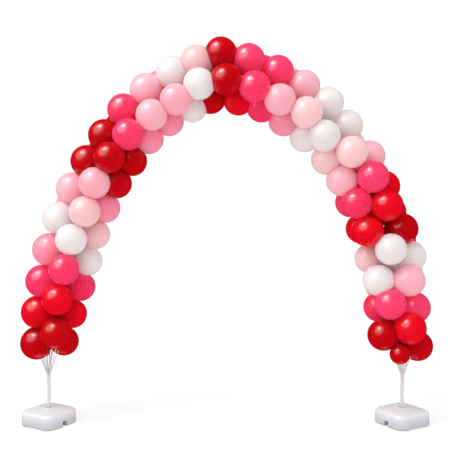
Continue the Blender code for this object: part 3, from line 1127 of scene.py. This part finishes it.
@dataclass
class Mooring:
    """The strands of one foot: gathered in the weight's socket, twisted, and fanned to the garland."""

    name: str  # left or right
    foot: float  # x of the weight's middle
    floor: float = 0.0885  # height of the socket's floor
    pinch: float = 0.445  # height where the fan starts
    outer_count: int = 12  # strands in the bundle's outer layer
    inner_count: int = 5  # strands in its core
    bundle: float = 0.0138  # radius of the outer layer's middle, in the bundle
    thickness: float = 0.0037  # radius of a strand
    turns: float = 1.15  # how often the bundle twists on its way up
    spread: float = 0.37  # how much a strand leans out, for each metre of rise
    reach: float = 0.27  # how far the fan rises where no balloon stops it
    clearance: float = 0.0045  # how near a strand comes to a balloon
    core: float = 0.42  # radius of the core's strands, as a share of the bundle's
    steps: int = 30  # points on a strand in the bundle
    rise_step: float = 0.006  # how far apart its points are in the fan
    ease: float = 0.02  # how gently the fan starts, in metres
    waver: float = 0.0032  # how far the bundle strays sideways, in metres
    waves: float = 1.3  # how often it does so
    waist: float = 0.10  # how much the bundle draws in halfway up
    sides: int = 10  # faces round a strand

    def strand_tree(self) -> GeometryTree:
        """Build the tree that winds a round skin along each strand's path.

        Returns:
            The tree.
        """
        sockets = {"Thickness": "NodeSocketFloat", "Sides": "NodeSocketInt", "Material": "NodeSocketMaterial"}
        tree = GeometryTree("strand_skins", sockets)
        path = tree.node("GeometryNodeMeshToCurve", {0: tree.input["Geometry"]}).outputs[0]
        length = tree.node("GeometryNodeSplineParameter").outputs["Length"]
        path = tree.store(path, "along", "FLOAT", "POINT", length)
        rim_inputs = {"Resolution": tree.input["Sides"], "Radius": tree.input["Thickness"]}
        rim = tree.node("GeometryNodeCurvePrimitiveCircle", rim_inputs).outputs[0]
        place = tree.node("GeometryNodeInputPosition").outputs[0]
        unit = tree.node("ShaderNodeVectorMath", {0: place}, {"operation": "NORMALIZE"}).outputs[0]
        rim = tree.store(rim, "round", "FLOAT_VECTOR", "POINT", unit)
        skin_inputs = {"Curve": path, "Profile Curve": rim, "Fill Caps": True}
        tree.finish(tree.node("GeometryNodeCurveToMesh", skin_inputs).outputs[0])
        return tree

    def _path(self, phase: float, layer: float, everyone: list[Balloon]) -> list[Vector]:
        """Lay one strand, from the floor of the socket to just short of a balloon.

        Args:
            phase: where in its layer it starts, as an angle.
            layer: its layer's radius.
            everyone: all the balloons.

        Returns:
            The path's points.
        """
        side = -1 if self.foot < 0 else 1
        points = []
        for step in range(self.steps + 1):
            share = step / self.steps
            height = self.floor + (self.pinch - self.floor) * share
            wave = self.waver * sin(2 * pi * self.waves * share) * side * (1 - share**4)
            angle = phase + 2 * pi * self.turns * share
            radius = layer * (1.0 - self.waist * sin(pi * share) ** 2)
            points.append(Vector((self.foot + wave, 0, 0)) + around(angle, radius, height))
        angle = phase + 2 * pi * self.turns
        lean = around(angle, layer / self.bundle)
        start = points[-1]
        room = self.thickness + self.clearance
        rise = self.rise_step
        while rise < self.reach:
            out = self.spread * rise * rise / (rise + self.ease)
            point = start + Vector((0, 0, rise)) + lean * out
            if any((Vector(one.centre) - point).length < one.radius + room for one in everyone):
                break
            points.append(point)
            rise += self.rise_step
        return points

    def build(self, everyone: list[Balloon], finish: Material) -> None:
        """Make the foot's strands as one piece.

        Args:
            everyone: all the balloons, which the strands stop short of.
            finish: the cord's material.
        """
        layers = (
            # strands           radius                   offset
            (self.outer_count, self.bundle, 0.0),
            (self.inner_count, self.core * self.bundle, 0.5),
        )
        paths = []
        for count, radius, offset in layers:
            phases = [2 * pi * (i + offset) / count for i in range(count)]
            paths.extend(self._path(phase, radius, everyone) for phase in phases)
        name = f"{self.name}_mooring_strands"
        values = {"Thickness": self.thickness, "Sides": self.sides, "Material": finish}
        mesh = self.strand_tree().run(wire_mesh(paths), values)
        piece = add_piece(name, mesh, finish)
        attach(piece, "root")
        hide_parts(f"{self.name}_strands")
        LOG.info("%s: %d strands, %d triangles", name, len(paths), triangle_count(piece))


@dataclass
class Weight:
    """A moulded weight: a crowned square block with soft edges, a socket, notches and shallow reliefs."""

    name: str  # left or right
    foot: float  # x of its middle
    turn: float  # how far it is turned about its middle, in degrees
    side: float = 0.406  # its width
    height: float = 0.135  # height of its top edge
    corner: float = 0.100  # radius of its corners in plan
    crown: float = 0.014  # how much its middle stands above its edge
    draft: float = 0.003  # how much narrower it is at the top
    upper: float = 0.036  # radius of its upper edge
    lower: float = 0.020  # radius of its lower edge
    collar: tuple[float, float] = (0.044, 0.006)  # radius and height of the socket's lip
    socket: tuple[float, float] = (0.033, 0.06)  # radius and depth of the socket
    notch: Triple = (0.054, 0.052, 0.085)  # width, height and depth of the notches in two opposite sides
    relief: Triple = (0.20, 0.014, 0.03)  # the same for the shallow reliefs under the other two
    voxel: float = 0.004  # size of the mesh's cells

    def outline(self, inset: float, height: float, steps: int = 14) -> list[Vector]:
        """Draw the square outline at one height.

        Args:
            inset: how far it is drawn in.
            height: the height.
            steps: points round each corner.

        Returns:
            The outline's points.
        """
        corner = self.corner - inset
        middle = self.side / 2 - inset - corner
        points = []
        for quarter in range(4):
            for step in range(steps + 1):
                angle = pi / 2 * (quarter + step / steps)
                diagonal = pi / 4 + pi / 2 * quarter
                points.append(around(diagonal, middle * sqrt(2)) + around(angle, corner, height))
        return points

    def _circle(self, outline: list[Vector], radius: float, height: float) -> list[Vector]:
        """A circle with a point towards each point of the outline."""
        return [Vector((p.x, p.y, 0)).normalized() * radius + Vector((0, 0, height)) for p in outline]

    def _block(self) -> Mesh:
        """Build the block with its socket, before it is cut.

        Returns:
            The mesh.
        """
        rings = []
        for degrees in range(0, 91, 15):
            inset = self.lower * (1 - sin(radians(degrees)))
            rings.append(self.outline(inset, self.lower * (1 - cos(radians(degrees)))))
        for degrees in range(0, 91, 10):
            inset = self.draft + self.upper * (1 - cos(radians(degrees)))
            rings.append(self.outline(inset, self.height - self.upper * (1 - sin(radians(degrees)))))
        edge = rings[-1]
        top = self.height + self.crown
        radius, rise = self.collar
        apron = 2.2 * radius
        swell = 0.75 * self.crown
        for share in (0.2, 0.4, 0.6, 0.8):
            circle = self._circle(edge, apron, 0)
            level = self.height + swell * sin(share * pi / 2)
            rings.append([Vector((*p.lerp(q, share).xy, level)) for p, q in zip(edge, circle)])
        socket, depth = self.socket
        turned = (
            # radius        height
            (apron, self.height + swell),
            (1.3 * radius, top - 0.0015),
            (radius, top),
            (0.96 * radius, top + rise),
            (socket, top + rise),
            (socket, top - depth),
        )
        rings.extend(self._circle(edge, out, height) for out, height in turned)
        return ringed_mesh(rings)

    def _cutters(self) -> Mesh:
        """Build boxes for the notches and the reliefs.

        Returns:
            All the boxes as one mesh.
        """
        shape = bmesh.new()
        for quarter, (width, height, depth) in enumerate((self.notch, self.relief) * 2):
            box = bmesh.ops.create_cube(shape, size=1)["verts"]
            bmesh.ops.scale(shape, verts=box, vec=(width, 2 * depth, 2 * height))
            bmesh.ops.translate(shape, verts=box, vec=(0, self.side / 2, 0))
            bmesh.ops.rotate(shape, verts=box, matrix=Matrix.Rotation(pi / 2 * quarter, 3, "Z"))
        return mesh_of(shape)

    def _hollow(self, point: Vector) -> float:
        """Measure how deep in a notch or under the block a point lies, for the painted shade there.

        Args:
            point: the point, on a weight that is not turned yet.

        Returns:
            The depth, from 0 to 1.
        """
        if point.z > self.notch[1] + self.voxel:
            return 0.0
        flat = self.side / 2 - self.corner
        beyond = Vector((max(0.0, abs(point.x) - flat), max(0.0, abs(point.y) - flat)))
        inside = self.corner - beyond.length - min(0.0, max(abs(point.x), abs(point.y)) - flat)
        fade = 0.02
        return min(1.0, max(0.0, (inside - self.lower - self.voxel) / fade))

    def build(self, finish: Material) -> None:
        """Make the weight as one piece.

        Args:
            finish: the plastic.
        """
        block = linked("block", self._block())
        cutter = linked("cutters", self._cutters())
        notching = block.modifiers.new("notching", "BOOLEAN")
        configure(notching, operation="DIFFERENCE", solver="EXACT", object=cutter)
        cells = block.modifiers.new("cells", "REMESH")
        configure(cells, mode="VOXEL", voxel_size=self.voxel, use_smooth_shade=True)
        configure(block.modifiers.new("soften", "SMOOTH"), factor=0.5, iterations=5)
        mesh = evaluated_mesh(block)
        for thing in (block, cutter):
            bpy.data.objects.remove(thing)
        # Where the painted shade in the notches falls.
        put_attribute(mesh, "hollow", [self._hollow(vertex.co) for vertex in mesh.vertices])
        mesh.transform(Matrix.Translation((self.foot, 0, 0)) @ Matrix.Rotation(radians(self.turn), 4, "Z"))
        name = f"{self.name}_weight"
        piece = add_piece(name, mesh, finish)
        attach(piece, "root")
        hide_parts(f"{self.name}_base")
        LOG.info("%s: %d triangles", name, triangle_count(piece))


# ---- the studio


@dataclass(frozen=True)
class SoftLight:
    """A large round light."""

    name: str
    direction: Triple  # where it stands, seen from the arch's middle
    size: float  # its diameter
    power: float  # its power in watts
    gloss_only: bool = False  # whether it shows in their gloss and leaves the surfaces unlit
    distance: float = 12.0  # how far it stands from the arch's middle

    def build(self, aim_height: float) -> None:
        """Put the light up.

        Args:
            aim_height: height of the point it aims at.
        """
        data = bpy.data.lights.new(self.name, "AREA")
        configure(data, shape="DISK", size=self.size, energy=self.power)
        holder = linked(self.name, data)
        aim = Vector(self.direction).normalized()
        holder.location = Vector((0, 0, aim_height)) + aim * self.distance
        holder.rotation_euler = aim.to_track_quat("Z", "Y").to_euler()
        holder.visible_diffuse = not self.gloss_only


@dataclass
class Studio:
    """A pale floor, soft lights from the upper left, an even surround and the camera."""

    distance: float = 6.5
    elevation: float = 2.0
    aim_height: float = 1.84
    lens: float = 56.35
    floor_radius: float = 5.0
    key: SoftLight = SoftLight("key", (-0.43, -0.32, 0.85), size=5.0, power=500.0)
    gleam: SoftLight = SoftLight("gleam", (-0.47, -0.38, 0.80), 4.0, 600.0, gloss_only=True)
    sheen: SoftLight = SoftLight("sheen", (-0.60, -0.48, 0.64), 14.0, 2400.0, gloss_only=True)
    dome_direction: Triple = (-0.50, -0.40, 0.77)
    dome: tuple[float, float] = (0.86, 1.04)

    def camera(self) -> None:
        """The camera, a little above the arch's middle and looking slightly down."""
        data = bpy.data.cameras.new("camera")
        configure(data, lens=self.lens, sensor_width=36.0)
        holder = linked("camera", data)
        tilt = radians(self.elevation)
        rise = self.aim_height + self.distance * sin(tilt)
        holder.location = (0, -self.distance * cos(tilt), rise)
        holder.rotation_euler = (pi / 2 - tilt, 0, 0)
        bpy.context.scene.camera = holder

    def floor(self) -> None:
        """The floor, a wide disc."""
        shape = bmesh.new()
        bmesh.ops.create_circle(shape, cap_ends=True, segments=96, radius=self.floor_radius)
        tree = ShaderTree("floor_paint")
        finish = tree.surface(
            {
                "Base Color": (0.46, 0.46, 0.46, 1.0),
                "Roughness": 0.9,
                "Specular IOR Level": 0.1,
                "Emission Color": (1.0, 1.0, 1.0, 1.0),
                "Emission Strength": 0.55,
            }
        )
        piece = add_piece("floor", mesh_of(shape), finish)
        piece.visible_glossy = False

    def lights(self) -> None:
        """The soft lights and the even surround, which stays out of the gloss."""
        for light in (self.key, self.gleam, self.sheen):
            light.build(self.aim_height)
        world = bpy.data.worlds.new("surround")
        bpy.context.scene.world = world
        world.use_nodes = True
        world.node_tree.nodes.clear()
        tree = NodeTree(world.node_tree)
        ray = tree.node("ShaderNodeLightPath").outputs
        way = tree.node("ShaderNodeTexCoord").outputs["Generated"]
        aim = tuple(Vector(self.dome_direction).normalized())
        dot = {"operation": "DOT_PRODUCT"}
        facing = tree.node("ShaderNodeVectorMath", {0: way, 1: aim}, dot).outputs["Value"]
        low, high = self.dome
        ends = {"From Min": -1.0, "From Max": 1.0, "To Min": low, "To Max": high}
        dome = tree.node("ShaderNodeMapRange", {"Value": facing, **ends}).outputs[0]
        ends = {0: ray["Is Camera Ray"], 2: dome, 3: 1.0}
        strength = tree.node("ShaderNodeMix", ends, {"data_type": "FLOAT"})
        inputs = {"Color": (1.0, 1.0, 1.0, 1.0), "Strength": strength.outputs[0]}
        glow = tree.node("ShaderNodeBackground", inputs)
        tree.node("ShaderNodeOutputWorld", {0: glow.outputs[0]})
        world.cycles_visibility.glossy = False
        bpy.context.scene.view_settings.view_transform = "Standard"

    def build(self) -> None:
        """Set the studio up."""
        self.camera()
        self.floor()
        self.lights()


# ---- the arch


def main() -> None:
    """Build the studio, the garland, the moorings and the weights."""
    logging.basicConfig(level=logging.INFO, format="%(name)s: %(message)s")
    Studio().build()
    left = Leg(side=-1, steep=radians(93), bend=1.42)
    right = Leg(side=1, steep=radians(100), bend=1.61)
    garland = Garland(
        ArchLine((0.023, 3.177), left, right),
        outer=Column(0.149, 0.138, 0.182),
        front=Column(0.136, 0.142, 0.178),
        inner=Column(0.132, 0.140, 0.178),
        back=Column(0.136, 0.138, 0.200),
    )
    garland.build()
    cord = StrandFinish().material("strand_white")
    plastic = PlasticFinish().material("weight_plastic")
    for name, side, reach in (("left", -1, 0.27), ("right", 1, 0.20)):
        Mooring(name, side * FOOT, reach=reach).build(garland.everyone, cord)
        Weight(name, side * FOOT, -side * WEIGHT_TURN).build(plastic)


if __name__ == "__main__":
    main()
